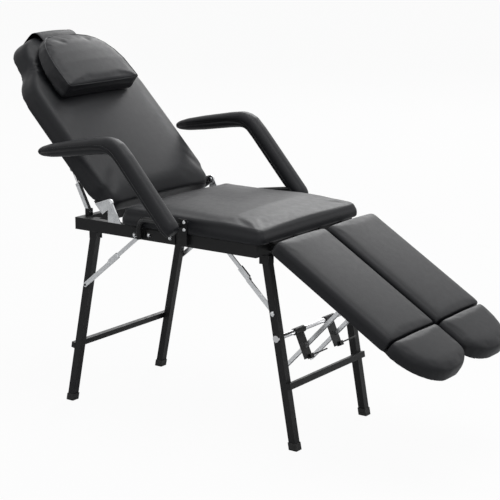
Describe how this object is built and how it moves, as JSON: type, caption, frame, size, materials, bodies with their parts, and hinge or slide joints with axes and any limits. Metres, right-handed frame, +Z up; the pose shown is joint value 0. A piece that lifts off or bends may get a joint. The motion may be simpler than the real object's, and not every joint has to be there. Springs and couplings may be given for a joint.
{
  "type": "portable cosmetic chair",
  "caption": "Folding treatment chair with padded seat, reclining back, head pillow, armrests and split leg rests on a black steel angle frame with folding tube legs.",
  "frame": {"origin": "centre of the bounding box in X and Y, on the floor", "axes": "+X to the foot end, +Y to the sitter's left, +Z up"},
  "size_m": [1.7389, 0.78, 1.2372],
  "materials": {
    "cover": "soft satin artificial leather",
    "board": "plywood under black felt",
    "paint": "satin black powder coat",
    "zinc": "bright zinc plate",
    "chrome": "polished chrome",
    "foot_plastic": "matte black"
  },
  "bodies": {
    "frame": {"side_rail_left": "paint", "side_rail_right": "paint", "front_rail": "paint", "rear_rail": "paint", "front_strap": "paint", "rear_strap": "paint", "front_leg_brackets": "paint", "rear_leg_brackets": "paint", "seat_board": "board", "seat_cushion": "cover", "back_ear_left": "zinc", "back_ear_right": "zinc", "prop_feet": "paint", "rest_lugs": "paint", "arm_plate_left": "paint", "arm_plate_right": "paint", "arm_tube_left": "paint", "arm_tube_right": "paint", "arm_pad_left": "cover", "arm_pad_right": "cover"},
    "back": {"back_board": "board", "back_cushion": "cover", "back_lug_left": "zinc", "back_lug_right": "zinc", "prop_lugs": "paint", "head_pillow": "cover", "pillow_strap": "cover"},
    "prop_sleeves": {"prop_sleeve_left": "zinc", "prop_sleeve_right": "zinc"},
    "prop_rods": {"prop_rod_left": "chrome", "prop_rod_right": "chrome"},
    "rest_left": {"rest_board_left": "board", "calf_cushion_left": "cover", "foot_cushion_left": "cover", "rest_hinge_left": "paint", "strut_saddle_left": "paint"},
    "rest_right": {"rest_board_right": "board", "calf_cushion_right": "cover", "foot_cushion_right": "cover", "rest_hinge_right": "paint", "strut_saddle_right": "paint"},
    "rear_legs": {"rear_leg_left": "paint", "rear_leg_right": "paint", "rear_cross_bar": "paint", "rear_feet": "foot_plastic"},
    "front_legs": {"front_leg_left": "paint", "front_leg_right": "paint", "front_cross_bar": "paint", "front_feet": "foot_plastic"},
    "rear_brace_upper": {"rear_brace_upper": "zinc"},
    "rear_brace_lower": {"rear_brace_lower": "zinc"},
    "rear_brace_locks": {"rear_brace_locks": "zinc"},
    "front_brace_upper": {"front_brace_upper": "zinc"},
    "front_brace_lower": {"front_brace_lower": "zinc"},
    "front_brace_locks": {"front_brace_locks": "zinc"},
    "strut_rod": {"strut_rod": "chrome"},
    "lock_left": {"lock_plate_left": "paint"},
    "lock_right": {"lock_plate_right": "paint"},
    "strut_left": {"rest_strut_left": "zinc"},
    "strut_right": {"rest_strut_right": "zinc"}
  },
  "joints": [
    {"name": "back_recline", "type": "hinge", "parent": "frame", "child": "back", "pos_m": [-0.3388, 0, 0.718], "axis": [0, 1, 0], "range_deg": [-15.7, 14.6]},
    {"name": "prop_swing", "type": "hinge", "parent": "frame", "child": "prop_sleeves", "pos_m": [-0.4768, 0, 0.668], "axis": [0, 1, 0], "range_deg": [-18.63, 17.34]},
    {"name": "prop_extend", "type": "slide", "parent": "prop_sleeves", "child": "prop_rods", "axis": [-0.4613, 0, 0.8873], "range_m": [-0.03939, 0.03666]},
    {"name": "rest_left_tilt", "type": "hinge", "parent": "frame", "child": "rest_left", "pos_m": [0.2712, 0, 0.638], "axis": [0, -1, 0], "range_deg": [-23.8, 31.2]},
    {"name": "rest_right_tilt", "type": "hinge", "parent": "frame", "child": "rest_right", "pos_m": [0.2712, 0, 0.638], "axis": [0, -1, 0], "range_deg": [-23.8, 31.2]},
    {"name": "rear_fold", "type": "hinge", "parent": "frame", "child": "rear_legs", "pos_m": [-0.4308, 0, 0.599], "axis": [0, -1, 0], "range_deg": [0, 101.6]},
    {"name": "rear_brace_upper", "type": "hinge", "parent": "frame", "child": "rear_brace_upper", "pos_m": [-0.2198, 0, 0.624], "axis": [0, 1, 0], "range_deg": [0, 36.91]},
    {"name": "rear_brace_lower", "type": "hinge", "parent": "rear_legs", "child": "rear_brace_lower", "pos_m": [-0.46729, 0, 0.42274], "axis": [0, -1, 0], "range_deg": [0, 32.06]},
    {"name": "rear_lock_slide", "type": "slide", "parent": "rear_brace_upper", "child": "rear_brace_locks", "axis": [0.7758, 0, 0.6309], "range_m": [0, 0.06]},
    {"name": "front_fold", "type": "hinge", "parent": "frame", "child": "front_legs", "pos_m": [0.2392, 0, 0.599], "axis": [0, 1, 0], "range_deg": [0, 88.3]},
    {"name": "front_brace_upper", "type": "hinge", "parent": "frame", "child": "front_brace_upper", "pos_m": [0.0362, 0, 0.624], "axis": [0, -1, 0], "range_deg": [0, 35.92]},
    {"name": "front_brace_lower", "type": "hinge", "parent": "front_legs", "child": "front_brace_lower", "pos_m": [0.2492, 0, 0.426], "axis": [0, 1, 0], "range_deg": [0, 39.91]},
    {"name": "front_lock_slide", "type": "slide", "parent": "front_brace_upper", "child": "front_brace_locks", "axis": [-0.7324, 0, 0.6808], "range_m": [0, 0.06]},
    {"name": "rod_spin", "type": "hinge", "parent": "front_legs", "child": "strut_rod", "pos_m": [0.2852, 0, 0.353], "axis": [0, -1, 0], "range_deg": [0, 34.07]},
    {"name": "lock_left_tilt", "type": "hinge", "parent": "strut_rod", "child": "lock_left", "pos_m": [0.2852, 0, 0.353], "axis": [0, -1, 0], "range_deg": [-4.26, 5.55]},
    {"name": "strut_left_slide", "type": "slide", "parent": "lock_left", "child": "strut_left", "axis": [0.6853, 0, 0.7283], "range_m": [-0.10577, 0.13857]},
    {"name": "lock_right_tilt", "type": "hinge", "parent": "strut_rod", "child": "lock_right", "pos_m": [0.2852, 0, 0.353], "axis": [0, -1, 0], "range_deg": [-4.26, 5.55]},
    {"name": "strut_right_slide", "type": "slide", "parent": "lock_right", "child": "strut_right", "axis": [0.6853, 0, 0.7283], "range_m": [-0.10577, 0.13857]}
  ],
  "couplings": [
    {"joint": "prop_swing", "follows": "back_recline", "ratio": 1.1805},
    {"joint": "prop_extend", "follows": "back_recline", "m_per_rad": 0.14267},
    {"joint": "rear_brace_upper", "follows": "rear_fold", "ratio": 0.36235},
    {"joint": "rear_brace_lower", "follows": "rear_fold", "ratio": 0.3146},
    {"joint": "front_brace_upper", "follows": "front_fold", "ratio": 0.40571},
    {"joint": "front_brace_lower", "follows": "front_fold", "ratio": 0.45083},
    {"joint": "rod_spin", "follows": "front_fold", "ratio": 0.38468},
    {"joint": "lock_left_tilt", "follows": "rest_left_tilt", "ratio": 0.1747},
    {"joint": "strut_left_slide", "follows": "rest_left_tilt", "m_per_rad": 0.25392},
    {"joint": "lock_right_tilt", "follows": "rest_right_tilt", "ratio": 0.1747},
    {"joint": "strut_right_slide", "follows": "rest_right_tilt", "m_per_rad": 0.25392}
  ]
}
